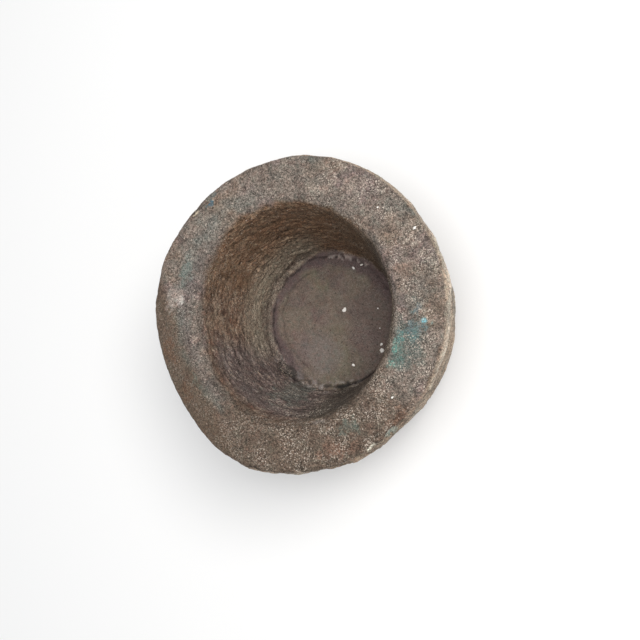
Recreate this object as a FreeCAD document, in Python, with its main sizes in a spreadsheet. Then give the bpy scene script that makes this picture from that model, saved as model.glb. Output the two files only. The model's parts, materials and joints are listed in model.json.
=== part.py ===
"""A one-piece stone molcajete: a mortar hewn from a single block of fine-grained volcanic rock.

The frame: origin at the middle of the foot, +Z out of the mouth, millimetres.
Every cross-section is a closed spline whose poles stand in evenly spaced directions, counted
anticlockwise from +X. A section has a mean radius, a height and a middle, and a few bulges and
flats, left by the hewing, take it off a true circle.
"""

import FreeCAD
import Part
import Sketcher
import os
import sys
from math import cos, pi, sin

from FreeCAD import Placement, Rotation, Vector

DIRECTIONS = 16
STEP_DEG = 360 / DIRECTIONS
# A closed cubic spline runs inside its poles by this ratio when they lie on a circle.
POLE_GAIN = 3 / (2 + cos(2 * pi / DIRECTIONS))
NODE = "bowl"

DRIVING = {
    # outside of the block, from the foot up
    "foot_radius": 72,
    "heel_height": 8,
    "heel_radius": 78,
    "flank_height": 42,
    "flank_radius": 90,
    "hip_height": 78,
    "hip_radius": 97.5,
    "shoulder_drop": 18,
    "shoulder_radius": 102,
    "brow_drop": 4,
    "brow_radius": 102,
    "bowl_height": 125,
    "lip_radius": 100,
    # hollow, whose middle is a little off the middle of the block
    "hollow_shift_x": -3.5,
    "hollow_shift_y": 1,
    "mouth_radius": 69,
    "waist_drop": 48,
    "waist_radius": 60,
    "floor_height": 32,
    "floor_radius": 51.5,
    # groove worn round the floor, just inside the foot of the wall
    "groove_radius": 47.5,
    "groove_width": 3,
    "groove_depth": 1.6,
    # the rounded edge of the mouth
    "mouth_round": 9,
    # the broad facet worn off one side of the lip
    "facet_bearing": 205,
    "facet_distance": 79,
    "facet_slope": 25,
}

# The bulges and flats of each hewn outline: millimetres out, or in where it is negative, then
# the bearing in degrees and how many degrees it fades over on either side.
HEWN = {
    "block": {
        "back_swell": (3, 80, 45),
        "left_swell": (1, 180, 60),
        "dent": (-2, 225, 20),
        "corner": (5, 247, 30),
        "flat": (-4, 335, 50),
    },
    "lip": {
        "back_swell": (3, 80, 45),
        "left_swell": (1, 180, 60),
        "dent": (-2, 225, 20),
        "corner": (5, 247, 30),
        "flat": (-6, 335, 50),
    },
    "mouth": {
        "back_swell": (3, 85, 90),
        "flat": (-5, 187, 50),
        "bay": (4, 268, 60),
    },
    "foot": {
        "back_right": (2, 45, 40),
        "back_left": (2, 130, 40),
        "front_left": (2, 225, 40),
        "flat": (-2, 270, 40),
        "front_right": (2, 315, 40),
    },
}

# section: mean radius, height above the foot, hewn outline, how strongly it shows, on the hollow's middle
SECTIONS = {
    "foot_outline": ("foot_radius", "0 mm", "foot", 1.0, False),
    "heel_outline": ("heel_radius", "Sizes.heel_height * 1 mm", "foot", 1.0, False),
    "flank_outline": ("flank_radius", "Sizes.flank_height * 1 mm", "foot", 0.8, False),
    "hip_outline": ("hip_radius", "Sizes.hip_height * 1 mm", "block", 0.7, False),
    "shoulder_outline": (
        "shoulder_radius",
        "(Sizes.bowl_height - Sizes.shoulder_drop) * 1 mm",
        "block",
        0.9,
        False,
    ),
    "brow_outline": (
        "brow_radius",
        "(Sizes.bowl_height - Sizes.brow_drop) * 1 mm",
        "block",
        1.0,
        False,
    ),
    "lip_outline": ("lip_radius", "Sizes.bowl_height * 1 mm", "lip", 1.0, False),
    "mouth_outline": ("mouth_radius", "Sizes.bowl_height * 1 mm", "mouth", 1.0, True),
    "waist_outline": (
        "waist_radius",
        "(Sizes.bowl_height - Sizes.waist_drop) * 1 mm",
        "mouth",
        0.5,
        True,
    ),
    "floor_outline": ("floor_radius", "Sizes.floor_height * 1 mm", "mouth", 0.15, True),
}


def make_sheet(doc):
    """The driving dimensions and the depth of each bulge and flat, one aliased cell each."""
    sheet = doc.addObject("Spreadsheet::Sheet", "Sizes")
    values = dict(DRIVING)
    for outline, features in HEWN.items():
        for feature, placing in features.items():
            values[f"{outline}_{feature}"] = placing[0]
    for row, (alias, value) in enumerate(values.items(), start=1):
        sheet.set(f"A{row}", alias.replace("_", " "))
        sheet.set(f"B{row}", str(value))
        sheet.setAlias(f"B{row}", alias)
    doc.recompute()
    return sheet


def origin_plane(body, role):
    return next(feature for feature in body.Origin.OriginFeatures if feature.Role == role)


def irregularity(outline, bearing):
    """The expression for how far a hewn outline stands off its circle on one bearing."""
    terms = ["0"]
    for feature, (_, middle, fade) in HEWN[outline].items():
        away = abs((bearing - middle + 180) % 360 - 180)
        if away < fade:
            share = (1 + cos(pi * away / fade)) / 2
            terms.append(f"{share:.4f} * Sizes.{outline}_{feature}")
    return " + ".join(terms)


def outline_sketch(body, name):
    """One closed spline section whose poles are tied to the sheet by polar expressions."""
    radius, height, hewn, strength, on_hollow = SECTIONS[name]
    sketch = body.newObject("Sketcher::SketchObject", name)
    sketch.AttachmentSupport = [(origin_plane(body, "XY_Plane"), "")]
    sketch.MapMode = "FlatFace"
    sketch.setExpression("AttachmentOffset.Base.z", height)

    start = DRIVING[radius] * POLE_GAIN
    angles = [2 * pi * index / DIRECTIONS for index in range(DIRECTIONS)]
    poles = [Vector(start * cos(angle), start * sin(angle), 0) for angle in angles]
    knots = [float(index) for index in range(DIRECTIONS + 1)]
    spline = Part.BSplineCurve()
    spline.buildFromPolesMultsKnots(poles, [1] * len(knots), knots, True, 3)
    sketch.addGeometry(spline, False)
    sketch.exposeInternalGeometry(0)

    for index, pole in enumerate(poles):
        stand_off = irregularity(hewn, index * STEP_DEG)
        reach = f"(Sizes.{radius} + {strength} * ({stand_off})) * {POLE_GAIN} * 1 mm"
        bearing = f"{index * STEP_DEG} deg"
        for kind, axis, turn in (("DistanceX", "x", "cos"), ("DistanceY", "y", "sin")):
            label = f"pole_{axis}_{index:02d}"
            at = pole.x if axis == "x" else pole.y
            number = sketch.addConstraint(Sketcher.Constraint(kind, -1, 1, index + 1, 3, at))
            sketch.renameConstraint(number, label)
            shift = f" + Sizes.hollow_shift_{axis} * 1 mm" if on_hollow else ""
            sketch.setExpression(f"Constraints.{label}", f"{reach} * {turn}({bearing}){shift}")
    return sketch


def loft(body, kind, name, outlines):
    feature = body.newObject(kind, name)
    feature.Profile = (outlines[0], [""])
    feature.Sections = [(outline, [""]) for outline in outlines[1:]]
    feature.Ruled = False
    return feature


def floor_groove(body):
    """The shallow V groove round the floor, turned about the hollow's own axis."""
    sketch = body.newObject("Sketcher::SketchObject", "groove_profile")
    sketch.AttachmentSupport = [(origin_plane(body, "XZ_Plane"), "")]
    sketch.MapMode = "FlatFace"
    sketch.setExpression("AttachmentOffset.Base.x", "Sizes.hollow_shift_x * 1 mm")
    # the XZ plane's normal is -Y
    sketch.setExpression("AttachmentOffset.Base.z", "-Sizes.hollow_shift_y * 1 mm")
    middle, floor = DRIVING["groove_radius"], DRIVING["floor_height"]
    half, depth = DRIVING["groove_width"] / 2, DRIVING["groove_depth"]
    corners = [
        Vector(middle - half, floor, 0),
        Vector(middle, floor - depth, 0),
        Vector(middle + half, floor, 0),
    ]
    for index, corner in enumerate(corners):
        sketch.addGeometry(Part.LineSegment(corner, corners[(index + 1) % 3]), False)
    for index in range(3):
        sketch.addConstraint(Sketcher.Constraint("Coincident", index, 2, (index + 1) % 3, 1))
    places = (
        ("Sizes.groove_radius - Sizes.groove_width / 2", "Sizes.floor_height"),
        ("Sizes.groove_radius", "Sizes.floor_height - Sizes.groove_depth"),
        ("Sizes.groove_radius + Sizes.groove_width / 2", "Sizes.floor_height"),
    )
    for index, (along, up) in enumerate(places):
        for kind, axis, cell, at in (
            ("DistanceX", "x", along, corners[index].x),
            ("DistanceY", "y", up, corners[index].y),
        ):
            label = f"corner_{axis}_{index}"
            number = sketch.addConstraint(Sketcher.Constraint(kind, -1, 1, index, 1, at))
            sketch.renameConstraint(number, label)
            sketch.setExpression(f"Constraints.{label}", f"({cell}) * 1 mm")
    groove = body.newObject("PartDesign::Groove", "floor_groove")
    groove.Profile = (sketch, [""])
    groove.ReferenceAxis = (sketch, ["V_Axis"])
    groove.Angle = 360
    return groove


def ring_edge(shape, height, radius):
    """The name of the closed edge at one height whose radius is nearest the one asked for."""
    misses = {}
    for index, edge in enumerate(shape.Edges, start=1):
        box = edge.BoundBox
        if abs(box.ZMin - height) < 0.01 and abs(box.ZMax - height) < 0.01:
            misses[f"Edge{index}"] = abs(box.XLength / 2 - radius)
    if not misses:
        sys.exit(f"no ring edge at {height} mm")
    return min(misses, key=misses.get)


def worn_mouth(doc, body, base):
    """The rounded edge of the mouth."""
    doc.recompute()
    edge = ring_edge(base.Shape, DRIVING["bowl_height"], DRIVING["mouth_radius"])
    fillet = body.newObject("PartDesign::Fillet", "worn_mouth")
    fillet.Base = (base, [edge])
    fillet.setExpression("Radius", "Sizes.mouth_round * 1 mm")
    return fillet


def worn_facet(body):
    """The planar facet: a box whose lower face slopes down and out through the lip."""
    box = body.newObject("PartDesign::SubtractiveBox", "worn_facet")
    box.setExpression("Length", "Sizes.shoulder_radius * 2 mm")
    box.setExpression("Width", "Sizes.shoulder_radius * 2 mm")
    box.setExpression("Height", "Sizes.bowl_height * 1 mm")
    reach = DRIVING["shoulder_radius"]
    # turned to its bearing, tilted about its hinge line, and hung so that it passes the hinge
    turned = Placement(Vector(0, 0, 0), Rotation(Vector(0, 0, 1), DRIVING["facet_bearing"]))
    hinge = Vector(DRIVING["facet_distance"], 0, DRIVING["bowl_height"])
    tilted = Placement(hinge, Rotation(Vector(0, 1, 0), DRIVING["facet_slope"]))
    hung = Placement(Vector(-reach / 2, -reach, 0), Rotation())
    box.Placement = turned.multiply(tilted).multiply(hung)
    return box


def make_bowl(doc):
    body = doc.addObject("PartDesign::Body", "Bowl")
    body.Label = NODE
    outside = ("foot", "heel", "flank", "hip", "shoulder", "brow", "lip")
    sketches = [outline_sketch(body, f"{name}_outline") for name in outside]
    loft(body, "PartDesign::AdditiveLoft", "hewn_block", sketches)
    doc.recompute()
    worn_facet(body)
    doc.recompute()
    inside = ("mouth", "waist", "floor")
    sketches = [outline_sketch(body, f"{name}_outline") for name in inside]
    loft(body, "PartDesign::SubtractiveLoft", "hollow", sketches)
    doc.recompute()
    worn_mouth(doc, body, floor_groove(body))
    doc.recompute()
    return body


def centre_on_origin(doc, body):
    """Places the body so that the origin is under the middle of its box."""
    box = body.Shape.optimalBoundingBox(True, False)
    body.Placement = Placement(Vector(-box.Center.x, -box.Center.y, 0), Rotation())
    doc.recompute()


def check(doc, body):
    for thing in doc.Objects:
        if "Invalid" in thing.State or "Error" in thing.State:
            sys.exit(f"{thing.Name} failed: {thing.State}")
    shape = body.Shape
    if shape.isNull() or not shape.isValid() or len(shape.Solids) != 1:
        sys.exit(f"{body.Label} is not one valid solid")
    box = shape.optimalBoundingBox(True, False)
    print(
        f"{body.Label}: {box.XLength:.1f} x {box.YLength:.1f} x {box.ZLength:.1f} mm,"
        f" {shape.Volume / 1e6:.3f} litres"
    )


def main():
    doc = FreeCAD.newDocument("Molcajete")
    make_sheet(doc)
    body = make_bowl(doc)
    centre_on_origin(doc, body)
    check(doc, body)
    os.makedirs("parts", exist_ok=True)
    body.Shape.exportStep(f"parts/{body.Label}.step")


main()
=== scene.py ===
# The looks of a one-piece stone molcajete: a pecked, worn and stained mortar bowl.
import json
import math

import bpy
import numpy as np
from mathutils import Matrix, Vector
from mathutils.bvhtree import BVHTree

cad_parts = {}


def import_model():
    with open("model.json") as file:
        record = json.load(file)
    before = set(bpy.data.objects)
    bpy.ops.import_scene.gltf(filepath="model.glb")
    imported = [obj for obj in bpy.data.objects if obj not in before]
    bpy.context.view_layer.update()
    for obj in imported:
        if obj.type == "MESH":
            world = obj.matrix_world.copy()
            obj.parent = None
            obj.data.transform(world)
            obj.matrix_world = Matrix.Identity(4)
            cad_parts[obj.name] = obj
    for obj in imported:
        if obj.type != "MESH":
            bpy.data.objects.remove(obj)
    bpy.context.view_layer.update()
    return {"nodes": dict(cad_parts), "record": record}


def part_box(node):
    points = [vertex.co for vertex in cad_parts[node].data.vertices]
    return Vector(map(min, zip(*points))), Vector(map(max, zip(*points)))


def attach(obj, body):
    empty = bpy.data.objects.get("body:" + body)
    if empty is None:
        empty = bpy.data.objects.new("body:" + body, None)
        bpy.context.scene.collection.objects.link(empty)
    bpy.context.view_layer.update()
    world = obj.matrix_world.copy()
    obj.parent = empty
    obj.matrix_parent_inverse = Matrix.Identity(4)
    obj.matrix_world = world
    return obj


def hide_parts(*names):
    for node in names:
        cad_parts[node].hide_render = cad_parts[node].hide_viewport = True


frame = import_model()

MM = 0.001
NODE = "bowl"
BODY = "root"
SEED = 41

# ---------------------------------------------------------------- places, in millimetres

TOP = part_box(NODE)[1][2] / MM
OPENINGS = {o["name"]: np.array(o["box_m"]) / MM for o in frame["record"]["physics"]["openings"]}
HOLLOW = OPENINGS["hollow_mouth"].mean(axis=0)[:2]

CAD = frame["nodes"][NODE]
CAD_TREE = BVHTree.FromPolygons(
    [vertex.co for vertex in CAD.data.vertices], [face.vertices for face in CAD.data.polygons]
)


def plumb(tree, x, y):
    """Where a plumb line over (x, y) meets a surface from above, and the surface's normal there."""
    start = Vector((x * MM, y * MM, 2 * TOP * MM))
    place, normal, _, _ = tree.ray_cast(start, Vector((0, 0, -1)))
    return np.array(place) / MM, np.array(normal)


def around(bearing, reach):
    """The point at a bearing in degrees and a reach in millimetres from the hollow's axis."""
    turn = math.radians(bearing)
    return HOLLOW[0] + reach * math.cos(turn), HOLLOW[1] + reach * math.sin(turn)


FLOOR = plumb(CAD_TREE, *HOLLOW)[0][2]
FLOOR_REACH = 47.5  # the groove round the floor
WALL_REACH = 80  # the hollow and its rounded mouth lie within this
MOUTH_REACH = 70
FACET_BEARING = 205
FACET_REACH = 79  # how far out the worn facet starts

# stretches of the bowl: from one bearing, anticlockwise to another, and over how much it fades
WORN_SIDE = (150, 265, 30)
RUGGED_SIDE = (285, 15, 40)

# bands: a stretch, then a circle's reach, half width, lumpiness and seed
OUTER_SEAM = ((95, 225, 20), (FLOOR_REACH + 0.6, 1.2, 3.0, 81))
INNER_SEAM = ((120, 235, 20), (FLOOR_REACH - 8.0, 1.5, 2.0, 84))
FAR_SEAM = ((330, 95, 15), (FLOOR_REACH + 0.5, 2.0, 1.6, 92))
ROPY_SEAM = ((225, 285, 15), (FLOOR_REACH + 1.0, 3.0, 2.4, 86))
CRESCENT = ((278, 328, 10), (FLOOR_REACH + 2.0, 1.4, 0.6, 85))
LUMPY = ((85, 235, 20), (FLOOR_REACH + 1.0, 6, 2.0, 80))
ROPY = ((222, 285, 15), (FLOOR_REACH + 2.5, 8, 2.5, 86))
COLLAR = ((110, 225, 15), (FLOOR_REACH + 4.0, 4.5, 1.5, 96))
CRUST = ((56, 92, 8), (FLOOR_REACH, 3.2, 1.5, 88))
CRUST_COLOUR = ((56, 92, 6), CRUST[1])
GREEN_BAND = ((120, 215, 25), (80, 10, 4.0, 21))
INNER_BAND = ((165, 232, 12), (79, 5, 2.5, 23))
MOUTH_SHADE_BAND = ((150, 225, 15), (73, 7, 2.5, 25))

# the rebuilt mesh
VOXEL = 1.0
EVEN_ROUNDS = 14  # rounds of smoothing over the whole stone
CREASE_ROUNDS = 90  # and along the line where the facet meets the flat rim
SETTLE = 0.5  # how far a point goes in one round towards the middle of its neighbours
FOOT_CALM = 5.0  # the height above the foot over which the carving fades in

# ---------------------------------------------------------------- noise

# Each kind of noise takes a seed, which only has to differ from the others'.


def lattice(cells, seed):
    """A repeatable number from 0 to 1 for each whole-numbered place."""
    x, y, z = (cells[..., axis] for axis in range(3))
    mixed = (x * 73856093) ^ (y * 19349663) ^ (z * 83492791) ^ (seed * 40503 + 977)
    mixed = (mixed ^ (mixed >> 13)) * 1274126177
    mixed = mixed ^ (mixed >> 16)
    return (mixed & 0xFFFF) / 0xFFFF


def smooth(low, high, value):
    """0 at low, 1 at high and an S-shaped ramp between them, whichever of the two is larger."""
    ramp = np.clip((value - low) / (high - low), 0, 1)
    return ramp * ramp * (3 - 2 * ramp)


def bumps(points, size, seed):
    """Smooth noise from -1 to 1 whose bumps are about `size` across."""
    place = points / size + 0.37 * seed
    cell = np.floor(place).astype(np.int64)
    part = place - cell
    part = part**3 * (part * (part * 6 - 15) + 10)
    total = np.zeros(len(points))
    for corner in np.ndindex(2, 2, 2):
        corner = np.array(corner)
        weight = np.prod(np.where(corner == 1, part, 1 - part), axis=1)
        total += weight * lattice(cell + corner, seed)
    return total * 2 - 1


def rough(points, size, seed, octaves=3, keep=0.5):
    """Noise of several sizes, each half the one before."""
    total, strength, reach = np.zeros(len(points)), 1.0, 0.0
    for octave in range(octaves):
        total += strength * bumps(points, size / 2**octave, seed + 17 * octave)
        reach += strength
        strength *= keep
    return total / reach


def pecks(points, size, seed):
    """How far each point is from the nearest scattered peck mark, and that mark's number."""
    place = points / size
    cell = np.floor(place).astype(np.int64)
    nearest = np.full(len(points), 9.0)
    number = np.zeros(len(points))
    for step in np.ndindex(3, 3, 3):
        home = cell + np.array(step) - 1
        centre = home + np.stack([lattice(home, seed + k) for k in range(3)], axis=1)
        gap = np.linalg.norm(place - centre, axis=1)
        closer = gap < nearest
        nearest = np.where(closer, gap, nearest)
        number = np.where(closer, lattice(home, seed + 3), number)
    return nearest, number


# ---------------------------------------------------------------- meshes in and out


def read_mesh(mesh):
    """The mesh's points in millimetres and its normals."""
    points = np.empty(len(mesh.vertices) * 3)
    mesh.vertices.foreach_get("co", points)
    normals = np.empty(len(mesh.vertices) * 3)
    mesh.vertex_normals.foreach_get("vector", normals)
    return points.reshape(-1, 3) / MM, normals.reshape(-1, 3)


def write_points(mesh, points):
    mesh.vertices.foreach_set("co", (points * MM).ravel())
    mesh.update()


def settle(mesh, rounds, strength):
    """Evens out the points of a mesh, by one strength or by one strength for each point."""
    edges = np.empty(len(mesh.edges) * 2, np.int64)
    mesh.edges.foreach_get("vertices", edges)
    first, second = edges.reshape(-1, 2).T
    count = len(mesh.vertices)
    ties = np.bincount(first, minlength=count) + np.bincount(second, minlength=count)
    points, _ = read_mesh(mesh)
    for _ in range(rounds):
        total = np.zeros_like(points)
        for axis in range(3):
            total[:, axis] = np.bincount(first, points[second, axis], count)
            total[:, axis] += np.bincount(second, points[first, axis], count)
        points += np.reshape(strength, (-1, 1)) * (total / ties[:, None] - points)
    write_points(mesh, points)


def remeshed(source, voxel):
    """A copy of an object's mesh, rebuilt as even quads about a voxel (in millimetres) wide."""
    work = bpy.data.objects.new("work", source.data.copy())
    bpy.context.scene.collection.objects.link(work)
    modifier = work.modifiers.new("voxels", "REMESH")
    modifier.mode = "VOXEL"
    modifier.voxel_size = voxel * MM
    modifier.use_smooth_shade = True
    graph = bpy.context.evaluated_depsgraph_get()
    mesh = bpy.data.meshes.new_from_object(work.evaluated_get(graph))
    bpy.data.objects.remove(work)
    mesh.materials.clear()
    return mesh


# ---------------------------------------------------------------- where on the bowl a point is


class Zones:
    """Soft masks, from 0 to 1, that say which part of the bowl each point belongs to."""

    def __init__(self, points, normals):
        self.points = points
        offset = points[:, :2] - HOLLOW
        self.reach = np.hypot(*offset.T)
        self.bearing = np.degrees(np.arctan2(offset[:, 1], offset[:, 0])) % 360
        outward = offset / np.maximum(self.reach, 1e-6)[:, None]
        radial = np.sum(outward * normals[:, :2], axis=1)
        self.height = points[:, 2]
        inside = (self.reach < WALL_REACH) & (self.height > FLOOR - 6)
        self.low = inside * smooth(FLOOR + 14, FLOOR + 4, self.height)
        self.top = smooth(TOP - 17, TOP - 9, self.height)
        border = self.reach + self.wobble(15, 2.4, 71) + self.wobble(5, 1.0, 76)
        border = border + 2.8 * self.between(125, 220, 30)
        self.floor = inside * smooth(FLOOR + 8, FLOOR + 3, self.height) * smooth(53.5, 50, border)
        upright = np.maximum(smooth(0.12, 0.6, -radial), smooth(FLOOR + 12, FLOOR + 6, self.height))
        self.wall = inside * upright * (1 - self.floor)
        # the brown of the wall starts lower and more softly on the worn side of the mouth
        worn = self.between(*WORN_SIDE)
        start = TOP - 1.0 - 2.5 * worn + self.wobble(9, 2.6, 73)
        self.dark_wall = self.wall * smooth(start, start - 4 - 4 * worn, self.height)
        self.foot = smooth(0.4, 0.9, -normals[:, 2]) * smooth(8, 2, self.height)
        self.outer = smooth(0.76, 0.97, radial) * (1 - inside) * (1 - self.foot)
        self.rim = self.top * (1 - self.wall) * (1 - self.outer)
        away = (points[:, :2] @ self.heading(FACET_BEARING)) - FACET_REACH
        away = away + 1.5 * rough(points, 12, 72)
        self.facet = smooth(-9, 1, away) * smooth(TOP - 30, TOP - 18, self.height) * (1 - self.wall)
        self.crease = smooth(9, 3, np.abs(away)) * smooth(TOP - 12, TOP - 5, self.height)
        self.crease = self.crease * (self.reach > MOUTH_REACH + 4)
        lip = smooth(90, 99, np.hypot(points[:, 0], points[:, 1]))
        self.edge = lip * smooth(TOP - 16, TOP - 5, self.height)
        self.rugged = 0.25 + 0.75 * self.between(*RUGGED_SIDE)

    @staticmethod
    def heading(bearing):
        return np.array([math.cos(math.radians(bearing)), math.sin(math.radians(bearing))])

    def wobble(self, size, height, seed):
        """Noise in millimetres that makes a round outline ragged."""
        return height * rough(self.points, size, seed, 2)

    def between(self, start, end, fade):
        """1 between two bearings, counted anticlockwise, fading out over `fade` degrees."""
        half = ((end - start) % 360) / 2
        away = np.abs((self.bearing - start - half + 180) % 360 - 180)
        return smooth(half + fade, half, away)

    def blot(self, bearing, reach, size, stretch, ragged, seed):
        """A ragged blot, seen from above: 1 in its middle, 0 beyond its size."""
        radial = self.heading(bearing)
        offset = self.points[:, :2] - np.array(around(bearing, reach))
        out = offset @ radial
        across = offset @ np.array([-radial[1], radial[0]])
        away = np.hypot(out, across / stretch) / size
        away += ragged * rough(self.points, max(size * 0.6, 1.5), seed)
        return smooth(1.0, 0.5, away)

    def ring(self, reach, width, lumps, seed):
        """1 on a lumpy circle about the hollow's axis, fading to 0 at `width` either side of it."""
        path = self.reach + self.wobble(19, lumps, seed) + self.wobble(6, 0.5 * lumps, seed + 1)
        return smooth(width, 0, np.abs(path - reach))

    def band(self, stretch, circle):
        """1 along one stretch of a lumpy circle."""
        return self.between(*stretch) * self.ring(*circle)

    def swirl(self):
        """Polar coordinates in millimetres: along the grinding strokes, and across them."""
        turn = np.radians(self.bearing)
        across = self.reach + self.height + self.wobble(17, 4.0, 74) + self.wobble(6, 1.2, 75)
        return np.stack([np.cos(turn) * MOUTH_REACH, np.sin(turn) * MOUTH_REACH, across], axis=1)


# ---------------------------------------------------------------- the shape of the stone


def hewn(zones):
    """The outside: slow waves, dished tool facets and deep pecks, calmest round the lip."""
    points = zones.points
    by_lip = smooth(TOP - 48, TOP - 24, zones.height)
    rugged = zones.outer * (1 - 0.85 * by_lip * (1 - zones.rugged))
    out = 1.0 * (0.25 + 0.75 * rugged) * rough(points, 55, SEED, 2)
    gap, number = pecks(points, 19, SEED + 1)
    out += 2.6 * rugged * (gap - 0.8) * (0.35 + number)
    out += 0.7 * rugged * rough(points, 8, SEED + 2, 3)
    for size, share in ((7.0, 0.9), (4.2, 0.8), (2.8, 0.4)):
        gap, number = pecks(points, size, SEED + int(size * 10))
        out -= share * rugged * smooth(0.6, 0.1, gap) * smooth(0.35, 0.8, number)
    return out


def worn_rim(zones):
    """The flat rim: broad soft hollows, worn-down pecks and a few pits."""
    points = zones.points
    rim = zones.rim * (1 - 0.6 * zones.facet)
    waves = 0.4 * rough(points, 22, SEED + 3, 2)
    out = rim * (waves + 0.34 * rough(points, 5.5, SEED + 4, 3, 0.65))
    for size, share in ((4.4, 0.42), (2.6, 0.34)):
        gap, number = pecks(points, size, SEED + int(size * 10))
        out -= share * rim * smooth(0.55, 0.1, gap) * smooth(0.45, 0.85, number)
    gap, number = pecks(points, 11, SEED + 12)
    out -= 1.1 * rim * smooth(0.28, 0.05, gap) * smooth(0.55, 0.8, number)
    return out


def ground_wall(zones):
    """The wall of the hollow: ropy strokes round the axis over uneven stone."""
    points = zones.points
    bold = 0.6 + 1.2 * zones.between(198, 275, 20) + 0.6 * zones.between(95, 150, 20)
    bold = bold * (0.5 + smooth(-0.3, 0.4, rough(points, 16, SEED + 17, 2)))
    strokes = zones.swirl() * np.array([1 / 5.5, 1 / 5.5, 1 / 1.9])
    out = 0.36 * bold * rough(strokes, 1.0, SEED + 9, 2)
    long_strokes = zones.swirl() * np.array([1 / 13, 1 / 13, 1 / 4.5])
    out += 0.5 * bold * rough(long_strokes, 1.0, SEED + 10, 2)
    out += 0.45 * rough(points, 6, SEED + 11, 3)
    for size, share in ((5.2, 0.75), (3.4, 0.7)):
        gap, number = pecks(points, size, SEED + int(size * 10))
        out -= share * smooth(0.5, 0.1, gap) * smooth(0.5, 0.85, number)
    return out * zones.wall


def floor_ring(zones):
    """The seam round the floor: lumpy and doubled on one side, a deep crescent on the other."""
    broken = smooth(-0.5, 0.1, rough(zones.points, 7, 82, 2))
    out = -0.8 * zones.band(*OUTER_SEAM) * broken
    out -= 0.45 * zones.band(*INNER_SEAM)
    out -= 2.2 * zones.band(*CRESCENT)
    out += 0.9 * zones.band(*LUMPY) * rough(zones.points, 5, 87, 3)
    out += 2.0 * zones.band(*ROPY) * rough(zones.points, 4.5, 87, 3)
    out += 0.8 * zones.band(*CRUST) * smooth(-0.1, 0.5, rough(zones.points, 3, 89, 2))
    return out * zones.low


def chips(zones):
    """Pieces knocked off the outer edge of the rim, most of them on its rugged side."""
    gap, number = pecks(zones.points, 10, SEED + 12)
    broken = zones.edge * (zones.rugged - 0.2)
    out = -1.9 * broken * smooth(0.6, 0.2, gap) * smooth(0.3, 0.9, number)
    out += 1.5 * broken * rough(zones.points, 5, SEED + 15, 2)
    out -= 1.1 * zones.top * zones.blot(133, 97, 2.6, 2.0, 0.3, 90)
    return out


def carve(zones):
    """Millimetres to move each point along its normal, mostly inwards."""
    grains = (0.13 - 0.1 * zones.floor) * bumps(zones.points, 1.6, SEED + 8)
    ripple = 0.16 * zones.floor * rough(zones.points, 9, SEED + 16, 4, 0.6)
    shapes = hewn(zones) + worn_rim(zones) + ground_wall(zones) + floor_ring(zones) + chips(zones)
    return shapes + grains + ripple


def carved_stone(name):
    """The bowl's CAD shape rebuilt as a fine mesh and carved."""
    mesh = remeshed(CAD, VOXEL)
    settle(mesh, EVEN_ROUNDS, SETTLE)
    zones = Zones(*read_mesh(mesh))
    settle(mesh, CREASE_ROUNDS, SETTLE * zones.crease)
    points, normals = read_mesh(mesh)
    zones = Zones(points, normals)
    relief = carve(zones)
    # the foot stays flat: nothing near it moves along a slanting normal
    calm = smooth(0, FOOT_CALM, points[:, 2])
    points = points + normals * (relief * (0.15 + 0.85 * calm))[:, None]
    points[:, 2] = np.maximum(points[:, 2], 0)
    write_points(mesh, points)
    mesh.name = name
    stone = bpy.data.objects.new(name, mesh)
    bpy.context.scene.collection.objects.link(stone)
    return stone, zones, relief


# ---------------------------------------------------------------- colours


def paint(*levels):
    """A colour from 0-255 display levels to the linear light that shaders use."""
    part = np.array(levels) / 255
    return np.where(part <= 0.04045, part / 12.92, ((part + 0.055) / 1.055) ** 2.4)


def blend(colour, other, weight):
    return colour + (other - colour) * np.clip(weight, 0, 1)[:, None]


def mottled(zones, colour, patches, seed):
    """A colour broken up by soft patches: each is a colour, a patch size and a strength."""
    result = np.tile(paint(*colour), (len(zones.points), 1))
    for step, (patch, size, strength) in enumerate(patches):
        spread = smooth(0.0, 0.45, rough(zones.points, size, seed + step, 3))
        result = blend(result, paint(*patch), spread * strength)
    return result


# colour, bearing, reach, size, stretch across the radius, raggedness, strength
RIM_MARKS = (
    ((112, 84, 70), 288, 92, 7.0, 1.5, 1.3, 0.42),
    ((114, 88, 74), 296, 96, 6.0, 1.5, 1.3, 0.4),
    ((104, 76, 60), 317, 101, 6.0, 2.2, 1.1, 0.5),
    ((102, 76, 58), 195, 91, 7.0, 1.4, 1.2, 0.5),
    ((100, 74, 56), 214, 92, 6.0, 1.6, 1.2, 0.45),
    ((158, 152, 146), 173, 78, 3.8, 1.2, 0.6, 0.85),
    ((148, 138, 130), 171, 84, 7.0, 1.4, 1.0, 0.6),
    ((150, 136, 124), 194, 69, 1.7, 1.6, 0.9, 0.6),
    ((142, 128, 116), 201, 67, 1.8, 1.6, 0.9, 0.5),
    ((196, 192, 176), 303, 102, 1.6, 2.6, 0.7, 0.9),
    ((184, 190, 178), 312, 102, 1.5, 3.6, 0.7, 0.9),
    ((150, 140, 132), 286, 72.5, 1.6, 3.2, 0.8, 0.7),
    ((206, 190, 166), 134, 95.5, 1.6, 2.2, 0.3, 1.0),
    ((78, 80, 76), 345, 80, 14.0, 1.1, 1.0, 0.5),
    ((140, 126, 114), 62, 90, 5.0, 1.3, 1.6, 0.4),
    ((142, 130, 118), 28, 92, 5.0, 1.2, 1.6, 0.4),
)


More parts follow.
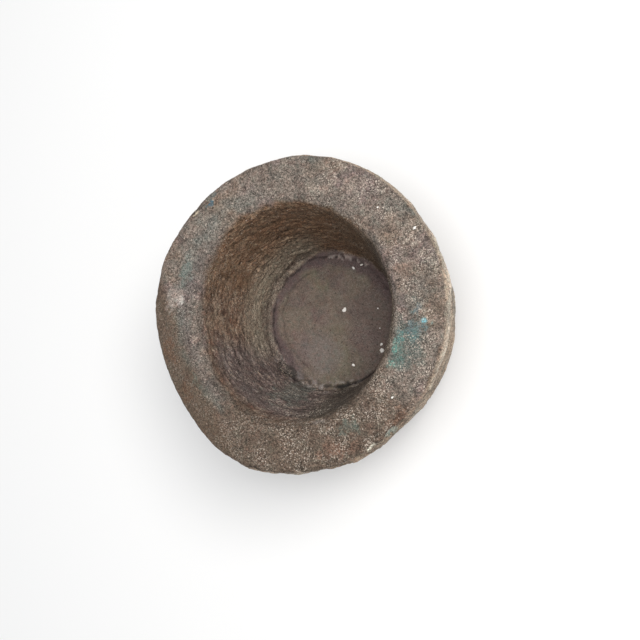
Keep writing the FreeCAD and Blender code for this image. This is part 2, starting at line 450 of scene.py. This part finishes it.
def rim_colour(zones):
    """Grey-brown, greener towards -X, browner towards -Y, and brown on the worn facet."""
    patches = (
        ((96, 99, 93), 26, 0.7),
        ((110, 94, 93), 17, 0.5),
        ((116, 98, 83), 20, 0.55),
        ((82, 73, 68), 8, 0.45),
        ((134, 121, 110), 5, 0.4),
        ((66, 58, 54), 3.2, 0.4),
    )
    rim = mottled(zones, (107, 97, 89), patches, SEED + 20)
    broken = smooth(-0.35, 0.3, rough(zones.points, 13, 22, 3))
    rim = blend(rim, paint(98, 101, 96), zones.band(*GREEN_BAND) * broken * 0.6)
    rim = blend(rim, paint(83, 70, 59), zones.between(240, 302, 35) * 0.86)
    rim = blend(rim, paint(92, 77, 64), zones.facet * 0.85)
    rim = blend(rim, paint(90, 94, 88), zones.band(*INNER_BAND) * broken * 0.5)
    # painted shade on the rounding of the mouth's -X side, where the key light falls
    rim = blend(rim, paint(90, 83, 80), zones.band(*MOUTH_SHADE_BAND) * 0.55)
    for step, (colour, *place, strength) in enumerate(RIM_MARKS):
        rim = blend(rim, paint(*colour), zones.blot(*place, 31 + step) * zones.top * strength)
    return rim


def wall_colour(zones):
    """Brown round the top, purple-grey below, with a paler olive shoulder near the floor."""
    patches = (
        ((130, 110, 92), 20, 0.5),
        ((78, 58, 48), 8, 0.65),
        ((120, 86, 66), 13, 0.5),
        ((152, 134, 116), 4.5, 0.5),
        ((62, 49, 43), 3.5, 0.45),
    )
    wall = mottled(zones, (114, 92, 77), patches, SEED + 24)
    sunk = smooth(TOP - 4, TOP - 26, zones.height)
    wall = blend(wall, paint(94, 84, 83), zones.between(208, 290, 22) * sunk * 0.8)
    wall = blend(wall, paint(72, 66, 58), zones.between(282, 60, 20) * 0.8)
    wall = blend(wall, paint(112, 86, 62), zones.between(60, 150, 30) * 0.55)
    shoulder = zones.between(110, 195, 25) * smooth(FLOOR + 46, FLOOR + 16, zones.height)
    wall = blend(wall, paint(137, 127, 112), shoulder * 0.8)
    wall = blend(wall, paint(86, 94, 88), zones.blot(250, 56, 9, 1.6, 0.8, 27) * 0.5)
    return wall


def floor_colour(zones):
    """Olive-brown stone, smooth, with a purple-brown band and dark seams round it."""
    patches = (
        ((104, 98, 80), 22, 0.6),
        ((98, 82, 80), 15, 0.6),
        ((86, 76, 70), 8, 0.4),
        ((122, 110, 100), 5, 0.3),
    )
    floor = mottled(zones, (108, 97, 87), patches, SEED + 28)
    floor = blend(floor, paint(92, 78, 76), zones.blot(350, 36, 30, 1.6, 0.4, 93) * 0.5)
    floor = blend(floor, paint(112, 104, 102), zones.blot(255, 26, 20, 1.2, 0.5, 94) * 0.45)
    band = smooth(FLOOR_REACH - 9, FLOOR_REACH - 3, zones.reach + zones.wobble(12, 4.0, 91))
    floor = blend(floor, paint(84, 69, 71), band * zones.between(30, 225, 25) * 0.75)
    return floor


def seam_shade(zones):
    """How much painted shade darkens the stone in the seams round the floor."""
    broken = smooth(-0.6, 0.2, rough(zones.points, 7, 82, 2))
    dark = 0.65 * zones.band(*OUTER_SEAM) * broken
    dark += 0.35 * zones.band(*INNER_SEAM)
    dark += 0.9 * zones.band(*CRESCENT)
    dark += 0.45 * zones.band(*ROPY_SEAM) * broken
    dark += 0.5 * zones.band(*FAR_SEAM) * broken
    return np.clip(dark, 0, 0.85) * zones.low


def outside_colour(zones):
    """Paler than the rim, patchy, darker towards the foot, with painted light just under the lip on
    its +X side.
    """
    patches = (
        ((132, 117, 104), 24, 0.8),
        ((182, 166, 146), 13, 0.5),
        ((118, 95, 76), 9, 0.4),
        ((126, 128, 120), 17, 0.4),
    )
    outer = mottled(zones, (162, 145, 127), patches, SEED + 32)
    near_foot = smooth(34, 4, zones.height + zones.wobble(20, 12, 33))
    outer = blend(outer, paint(108, 92, 80), near_foot * 0.6)
    under_lip = smooth(TOP - 34, TOP - 14, zones.height)
    outer = blend(outer, paint(138, 116, 96), zones.between(285, 335, 15) * under_lip * 0.5)
    # painted light on the +X side just under the lip, where the strip is lit less, broken up in
    # patches
    light_breakup = smooth(-0.35, 0.35, rough(zones.points, 5, 34, 3))
    painted_light_band = smooth(TOP - 4, TOP - 11, zones.height) * smooth(TOP - 38, TOP - 22, zones.height)
    painted_light_band = painted_light_band * zones.between(345, 28, 25)
    return blend(outer, paint(212, 198, 180), painted_light_band * (0.5 + 0.4 * light_breakup))


def round_the_floor(zones, colour):
    """Adds the painted shade in the seams round the floor, the dark collar outside them, the ropy
    side and the crust.
    """
    colour = blend(colour, paint(44, 36, 33), seam_shade(zones))
    colour = blend(colour, paint(74, 62, 58), zones.low * zones.band(*COLLAR) * 0.6)
    ropy = zones.low * zones.band(*ROPY)
    lumps = rough(zones.points, 3.2, 95, 3)
    colour = blend(colour, paint(136, 128, 126), ropy * smooth(0.05, 0.4, lumps) * 0.7)
    colour = blend(colour, paint(52, 50, 47), ropy * smooth(0.05, -0.35, lumps) * 0.8)
    flakes = smooth(0.0, 0.4, rough(zones.points, 3, 89, 2))
    return blend(colour, paint(150, 138, 132), zones.low * zones.band(*CRUST_COLOUR) * flakes * 0.8)


def stain_light_and_shade(zones, relief):
    """The broad colour of the stone at each point, from its place and how high it stands, with
    painted shade in the hollows and seams and painted light on ridges and under the lip.
    """
    colour = rim_colour(zones)
    colour = blend(colour, outside_colour(zones), np.maximum(zones.outer, zones.foot))
    colour = blend(colour, wall_colour(zones), zones.dark_wall)
    colour = blend(colour, floor_colour(zones), zones.floor)
    colour = round_the_floor(zones, colour)
    # painted shade in the hollows of the carving, and painted light on its ridges
    sunk = smooth(-0.15, -1.1, relief)
    raised = smooth(0.05, 0.6, relief) * (1 - zones.foot)
    return colour * (1 - 0.38 * sunk + 0.16 * raised)[:, None]


# colour, bearing, reach, size, stretch across the radius, raggedness, strength
DYES = (
    ((76, 90, 86), 345, 82, 14.0, 1.1, 1.0, 0.5),
    ((78, 104, 98), 340, 77, 8.0, 1.0, 1.3, 0.7),
    ((84, 114, 112), 350, 81, 8.0, 0.9, 1.3, 0.7),
    ((96, 134, 124), 334, 76, 2.8, 1.1, 1.1, 0.9),
    ((86, 112, 106), 338, 79, 3.0, 1.2, 1.3, 0.65),
    ((90, 136, 126), 343, 74, 3.4, 1.4, 1.1, 0.9),
    ((84, 126, 122), 347, 77, 3.8, 1.0, 1.3, 0.8),
    ((82, 112, 116), 354, 86, 6.0, 1.2, 1.3, 0.6),
    ((88, 112, 122), 1, 86.5, 2.8, 1.2, 0.7, 0.45),
    ((112, 160, 168), 355.4, 90, 2.3, 1.2, 0.3, 1.0),
    ((60, 100, 116), 127, 92.3, 2.4, 1.5, 0.8, 0.75),
    ((76, 104, 110), 124, 96, 2.6, 2.0, 0.9, 0.35),
    ((88, 110, 108), 158, 78, 5.0, 1.6, 1.3, 0.28),
    ((94, 108, 102), 214, 79, 3.0, 2.4, 1.4, 0.22),
    ((92, 110, 104), 300, 84, 5.0, 1.5, 1.2, 0.3),
    ((128, 152, 146), 312, 102.5, 1.3, 3.4, 1.1, 0.5),
)


def dye(zones):
    """The green and blue pigment that stays in the rim's pores: its colour, and how much."""
    colour = np.tile(paint(92, 128, 120), (len(zones.points), 1))
    amount = np.zeros(len(zones.points))
    for step, (pigment, *place, strength) in enumerate(DYES):
        blot = zones.blot(*place, 61 + step) * strength
        colour = blend(colour, paint(*pigment), smooth(0.05, 0.4, blot))
        amount = np.maximum(amount, blot)
    return colour, amount * zones.top * (1 - zones.wall)


def store(mesh, name, values, kind):
    """Writes one number, one colour or one vector for each point of a mesh."""
    layer = mesh.attributes.new(name, kind, "POINT")
    if kind == "FLOAT":
        layer.data.foreach_set("value", values.astype(np.float32))
    elif kind == "FLOAT_VECTOR":
        layer.data.foreach_set("vector", values.astype(np.float32).ravel())
    else:
        solid = np.ones((len(values), 4), np.float32)
        solid[:, :3] = values
        layer.data.foreach_set("color", solid.ravel())


# ---------------------------------------------------------------- shader helpers


class Nodes:
    """A short way to add and join shader nodes."""

    def __init__(self, name):
        self.material = bpy.data.materials.new(name)
        self.material.use_nodes = True
        self.tree = self.material.node_tree
        self.shader = self.tree.nodes["Principled BSDF"]

    def add(self, kind, settings=(), **inputs):
        node = self.tree.nodes.new(kind)
        for key, value in dict(settings).items():
            setattr(node, key, value)
        for key, value in inputs.items():
            self.feed(node.inputs[key.replace("_", " ")], value)
        return node

    def feed(self, socket, value):
        if isinstance(value, bpy.types.NodeSocket):
            self.tree.links.new(value, socket)
        else:
            socket.default_value = value

    def noise(self, vector, scale, detail=2.0, roughness=0.5, swirl=0.0):
        node = self.add("ShaderNodeTexNoise", Scale=scale, Detail=detail, Roughness=roughness)
        self.feed(node.inputs["Distortion"], swirl)
        self.feed(node.inputs["Vector"], vector)
        return node.outputs["Fac"]

    def cells(self, vector, scale):
        """The distance to the nearest of some scattered points, and that point's own number."""
        node = self.add("ShaderNodeTexVoronoi", Scale=scale)
        self.feed(node.inputs["Vector"], vector)
        number = self.add("ShaderNodeSeparateColor", Color=node.outputs["Color"])
        return node.outputs["Distance"], number.outputs[0]

    def stretched(self, vector, scales):
        """A vector with each of its axes scaled by its own amount."""
        node = self.add("ShaderNodeVectorMath", {"operation": "MULTIPLY"})
        self.feed(node.inputs[0], vector)
        self.feed(node.inputs[1], scales)
        return node.outputs[0]

    def ramp(self, value, low, high, start=0.0, end=1.0):
        node = self.add("ShaderNodeMapRange", {"interpolation_type": "SMOOTHSTEP"})
        for key, number in (("Value", value), ("From Min", low), ("From Max", high)):
            self.feed(node.inputs[key], number)
        self.feed(node.inputs["To Min"], start)
        self.feed(node.inputs["To Max"], end)
        return node.outputs["Result"]

    def maths(self, operation, first, second):
        node = self.add("ShaderNodeMath", {"operation": operation})
        self.feed(node.inputs[0], first)
        self.feed(node.inputs[1], second)
        return node.outputs[0]

    def times(self, first, second):
        return self.maths("MULTIPLY", first, second)

    def mix(self, weight, first, second, how="MIX"):
        node = self.add("ShaderNodeMix", {"data_type": "RGBA", "blend_type": how})
        for name, value in (("Factor", weight), ("A", first), ("B", second)):
            sockets = [socket for socket in node.inputs if socket.name == name and socket.enabled]
            self.feed(sockets[0], value)
        return next(socket for socket in node.outputs if socket.enabled)

    def layer(self, name, output="Color"):
        return self.add("ShaderNodeAttribute", {"attribute_name": name}).outputs[output]


def rgba(*levels):
    return (*paint(*levels), 1.0)


PINKISH = (1.12, 0.93, 0.9, 1.0)
GREENISH = (0.88, 1.04, 1.04, 1.0)


def stone_material():
    """Fine-grained volcanic stone: painted colours, mottled grain, strokes, crystals and dye."""
    kit = Nodes("pecked_stone")
    place = kit.add("ShaderNodeTexCoord").outputs["Object"]
    swirl = kit.layer("swirl", "Vector")
    grainy = kit.layer("grainy", "Fac")
    stroked = kit.layer("stroked", "Fac")
    colour = kit.layer("stain_light_and_shade")

    # patches a few millimetres across that lean to pink or to green
    lean = kit.noise(place, 260, 3, 0.65, 0.6)
    for tint, low, high, strength in ((PINKISH, 0.5, 0.68, 0.5), (GREENISH, 0.48, 0.32, 0.6)):
        tinted = kit.mix(1.0, colour, tint, "MULTIPLY")
        colour = kit.mix(kit.ramp(lean, low, high, 0.0, strength), colour, tinted)

    # curly light and dark grain, under a millimetre and about half a millimetre wide
    coarse = kit.noise(place, 760, 3, 0.65, 1.1)
    fine = kit.noise(place, 1700, 2, 0.6, 0.8)
    coarse_grain = kit.ramp(coarse, 0.34, 0.7, 0.4, 1.85)
    grain = kit.times(coarse_grain, kit.ramp(fine, 0.3, 0.7, 0.6, 1.45))
    quiet_grain = kit.ramp(fine, 0.3, 0.7, 0.78, 1.22)
    colour = kit.mix(1.0, colour, kit.mix(grainy, quiet_grain, grain), "MULTIPLY")

    # strokes round the hollow, some of them rubbed pale
    dashes = kit.noise(kit.stretched(swirl, (0.22, 0.22, 0.7)), 1.0, 3, 0.65, 1.0)
    hairs = kit.noise(kit.stretched(swirl, (0.45, 0.45, 1.6)), 1.0, 2, 0.6, 0.8)
    dash_tone = kit.ramp(dashes, 0.34, 0.68, 0.55, 1.5)
    tone = kit.times(dash_tone, kit.ramp(hairs, 0.3, 0.7, 0.68, 1.4))
    colour = kit.mix(stroked, colour, kit.mix(1.0, colour, tone, "MULTIPLY"))
    rubbed = kit.times(kit.ramp(dashes, 0.54, 0.66), kit.ramp(hairs, 0.46, 0.6))
    colour = kit.mix(kit.times(rubbed, stroked), colour, rgba(168, 147, 126))

    # pigment left in the pores
    speckle = kit.noise(place, 780, 3, 0.7, 0.8)
    soaked = kit.times(kit.layer("dyed", "Fac"), kit.ramp(speckle, 0.38, 0.6, 0.3, 1.15))
    pigment = kit.mix(1.0, kit.layer("dye"), kit.ramp(fine, 0.32, 0.68, 0.45, 1.65), "MULTIPLY")
    colour = kit.mix(soaked, colour, pigment)

    # thin pale flecks that lie two ways
    freckled = kit.layer("freckled", "Fac")
    for scales in ((750, 1700, 1200), (1700, 750, 1200)):
        fleck = kit.ramp(kit.noise(kit.stretched(place, scales), 1.0, 1, 0.5, 0.3), 0.61, 0.69)
        colour = kit.mix(kit.times(fleck, freckled), colour, rgba(210, 197, 182))

    # single pale crystals, and dark pores
    gap, number = kit.cells(place, 560)
    crystal = kit.times(kit.ramp(gap, 0.4, 0.15), kit.ramp(number, 0.9, 0.92))
    crystal = kit.times(crystal, grainy)
    colour = kit.mix(kit.times(crystal, 0.55), colour, rgba(196, 180, 166))
    pore = kit.times(kit.ramp(gap, 0.42, 0.2), kit.ramp(number, 0.14, 0.1))
    colour = kit.mix(kit.times(pore, 0.6), colour, rgba(58, 50, 46))

    kit.feed(kit.shader.inputs["Base Color"], colour)
    kit.feed(kit.shader.inputs["Roughness"], kit.ramp(coarse, 0.3, 0.7, 0.94, 0.78))
    kit.shader.inputs["Specular IOR Level"].default_value = 0.28

    relief = kit.mix(stroked, coarse, kit.times(dashes, 1.3))
    height = kit.maths("ADD", relief, kit.times(fine, 0.45))
    height = kit.maths("SUBTRACT", height, kit.times(pore, 0.4))
    bump = kit.add("ShaderNodeBump", Strength=0.6, Distance=0.0005, Height=height)
    kit.feed(kit.shader.inputs["Normal"], bump.outputs["Normal"])
    return kit.material


def lime_material():
    """Dried white paint or lime: chalky, a little dirty."""
    kit = Nodes("dried_lime")
    place = kit.add("ShaderNodeTexCoord").outputs["Object"]
    dirt = kit.noise(place, 900, 2, 0.6)
    dirty = kit.ramp(dirt, 0.45, 0.75, 0.0, 0.5)
    colour = kit.mix(dirty, rgba(236, 232, 226), rgba(190, 180, 166))
    kit.feed(kit.shader.inputs["Base Color"], colour)
    kit.shader.inputs["Roughness"].default_value = 0.8
    bump = kit.add("ShaderNodeBump", Strength=0.3, Distance=0.0002, Height=dirt)
    kit.feed(kit.shader.inputs["Normal"], bump.outputs["Normal"])
    return kit.material


# ---------------------------------------------------------------- the stone


def freckles(zones):
    """Where pale flecks show: most towards +X and -Y, in loose clusters."""
    share = 0.3 + 0.5 * zones.between(270, 60, 40)
    share = share + 0.35 * zones.dark_wall * zones.between(150, 275, 30)
    clusters = smooth(-0.5, 0.5, rough(zones.points, 9, SEED + 19, 2))
    hidden = (1 - 0.9 * zones.floor) * (1 - 0.4 * zones.dark_wall) * (1 - 0.5 * zones.outer)
    return share * clusters * hidden


def stroke_share(zones):
    """How much of the wall's texture is strokes: most along two stretches of it, in patches."""
    share = 0.45 + 0.5 * zones.between(195, 275, 20) + 0.5 * zones.between(95, 160, 20)
    return share * smooth(-0.45, 0.35, rough(zones.points, 14, SEED + 18, 2))


def grain_share(zones):
    """How coarse the grain looks: finest on the polished floor."""
    return 1.0 - 0.7 * zones.floor - 0.15 * zones.dark_wall - 0.3 * zones.facet


def stone_piece():
    stone, zones, relief = carved_stone("stone_bowl")
    mesh = stone.data
    store(mesh, "stain_light_and_shade", stain_light_and_shade(zones, relief), "FLOAT_COLOR")
    pigment, amount = dye(zones)
    store(mesh, "dye", pigment, "FLOAT_COLOR")
    store(mesh, "dyed", amount, "FLOAT")
    store(mesh, "grainy", grain_share(zones), "FLOAT")
    store(mesh, "freckled", freckles(zones), "FLOAT")
    store(mesh, "stroked", zones.dark_wall * stroke_share(zones), "FLOAT")
    store(mesh, "swirl", zones.swirl(), "FLOAT_VECTOR")
    mesh.materials.append(stone_material())
    return stone


stone = stone_piece()
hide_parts(NODE)
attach(stone, BODY)

# ---------------------------------------------------------------- specks of dried lime

# bearing, reach, length, width: drops on the floor of the hollow, then on the rim
SPECKS = (
    (39, 11.9, 4.4, 2.7),
    (296, 37.0, 2.4, 1.9),
    (329, 44.2, 3.8, 3.0),
    (334, 41.8, 2.6, 1.9),
    (67, 41.8, 2.4, 1.6),
    (61, 46.5, 2.8, 1.5),
    (13, 36.0, 1.3, 1.3),
    (350, 37.0, 1.0, 0.9),
    (31, 98.0, 2.6, 1.7),
    (47, 88.6, 1.6, 1.2),
    (322, 88.0, 2.0, 1.2),
)


SPECK_SIDES = 14
SPECK_RINGS = 4
SPECK_THICKNESS = 0.22  # a share of the width
SPECK_RAGGED = 0.16
SPECK_SUNK = 0.12  # how far its edge lies below the stone
SPECK_ROOT = 0.5  # how far the middle of its underside does


def speck_shell(length, width, ragged):
    """A drop's points about its own middle: rings from the crown outwards, crown, underside."""
    thickness = SPECK_THICKNESS * width
    points = []
    for ring in range(SPECK_RINGS):
        level = thickness * math.cos(ring / (SPECK_RINGS - 1) * math.pi / 2) - SPECK_SUNK
        for side in range(SPECK_SIDES):
            angle = math.tau * side / SPECK_SIDES
            spread = math.sin((ring + 1) / SPECK_RINGS * math.pi / 2) * ragged[side]
            along = length / 2 * spread * math.cos(angle)
            points.append((along, width / 2 * spread * math.sin(angle), level))
    points.append((0, 0, thickness - 0.1))
    points.append((0, 0, -SPECK_ROOT))
    return points


def speck_faces(base):
    """The faces of one drop whose points start at number `base`."""
    rings = [base + ring * SPECK_SIDES for ring in range(SPECK_RINGS)]
    crown = base + SPECK_RINGS * SPECK_SIDES
    underside = crown + 1
    faces = []
    for side in range(SPECK_SIDES):
        after = (side + 1) % SPECK_SIDES
        faces.append((crown, base + side, base + after))
        for low, high in zip(rings, rings[1:]):
            faces.append((low + side, high + side, high + after, low + after))
        faces.append((underside, rings[-1] + after, rings[-1] + side))
    return faces


def speck_mesh(tree, rng):
    """Flat ragged drops lying on the stone, all in one mesh."""
    corners, faces = [], []
    for bearing, reach, length, width in SPECKS:
        place, normal = plumb(tree, *around(bearing, reach))
        upright = Vector(normal).to_track_quat("Z", "Y").to_matrix()
        turn = upright @ Matrix.Rotation(rng.uniform(0, math.tau), 3, "Z")
        ragged = 1 + SPECK_RAGGED * rng.standard_normal(SPECK_SIDES)
        faces.extend(speck_faces(len(corners)))
        for point in speck_shell(length, width, ragged):
            corners.append(Vector(place) + turn @ Vector(point))
    mesh = bpy.data.meshes.new("lime_specks")
    mesh.from_pydata([corner * MM for corner in corners], [], faces)
    for face in mesh.polygons:
        face.use_smooth = True
    return mesh


def speck_piece(mesh):
    """The drops, laid on the carved stone's mesh."""
    tree = BVHTree.FromPolygons(
        [vertex.co for vertex in mesh.vertices], [face.vertices for face in mesh.polygons]
    )
    specks = bpy.data.objects.new("lime_specks", speck_mesh(tree, np.random.default_rng(SEED)))
    bpy.context.scene.collection.objects.link(specks)
    specks.data.materials.append(lime_material())
    return specks


specks = speck_piece(stone.data)
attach(specks, BODY)

# ---------------------------------------------------------------- floor, light and camera, in metres


FLOOR_SIDE = 6.0
FLOOR_LEVEL = -0.0003
EYE = (0.2042, -0.0385, 0.6593)
TILT = math.radians(19)
DIP = math.radians(3.4)


def floor_piece():
    """A plain pale floor under the bowl."""
    mesh = bpy.data.meshes.new("studio_floor")
    signs = ((-1, -1), (1, -1), (1, 1), (-1, 1))
    corners = [(x * FLOOR_SIDE, y * FLOOR_SIDE, FLOOR_LEVEL) for x, y in signs]
    mesh.from_pydata(corners, [], [(0, 1, 2, 3)])
    floor = bpy.data.objects.new("studio_floor", mesh)
    bpy.context.scene.collection.objects.link(floor)
    kit = Nodes("pale_floor")
    kit.shader.inputs["Base Color"].default_value = rgba(238, 238, 238)
    kit.shader.inputs["Roughness"].default_value = 0.9
    mesh.materials.append(kit.material)
    return floor


def area_light(name, place, aim, size, power, colour):
    data = bpy.data.lights.new(name, "AREA")
    data.shape = "DISK"
    data.size = size
    data.energy = power
    data.color = colour
    light = bpy.data.objects.new(name, data)
    light.location = place
    light.rotation_euler = (Vector(aim) - Vector(place)).to_track_quat("-Z", "Y").to_euler()
    bpy.context.scene.collection.objects.link(light)


def world(strength):
    scene = bpy.context.scene
    scene.world = bpy.data.worlds.new("studio")
    scene.world.use_nodes = True
    background = scene.world.node_tree.nodes["Background"]
    background.inputs["Color"].default_value = (0.94, 0.97, 1.0, 1.0)
    background.inputs["Strength"].default_value = strength


def camera():
    """Looks into the mouth from above, a little from the right and the front."""
    data = bpy.data.cameras.new("camera")
    data.lens = 50
    data.sensor_width = 36
    eye = bpy.data.objects.new("camera", data)
    back = Vector((math.sin(TILT) * math.cos(DIP), -math.sin(DIP), math.cos(TILT) * math.cos(DIP)))
    right = Vector((0, 1, 0)).cross(back).normalized()
    up = back.cross(right)
    turn = Matrix((right, up, back)).transposed().to_4x4()
    eye.matrix_world = Matrix.Translation(EYE) @ turn
    bpy.context.scene.collection.objects.link(eye)
    bpy.context.scene.camera = eye


floor_piece()
area_light("key", (0.8, 0.45, 1.45), (0, 0, 0.08), 0.8, 14, (1.0, 0.98, 0.95))
area_light("front", (0.3, -0.05, 1.7), (0, 0, 0.05), 1.0, 16, (1.0, 0.99, 0.98))
world(0.42)
camera()
bpy.context.scene.view_settings.view_transform = "Standard"
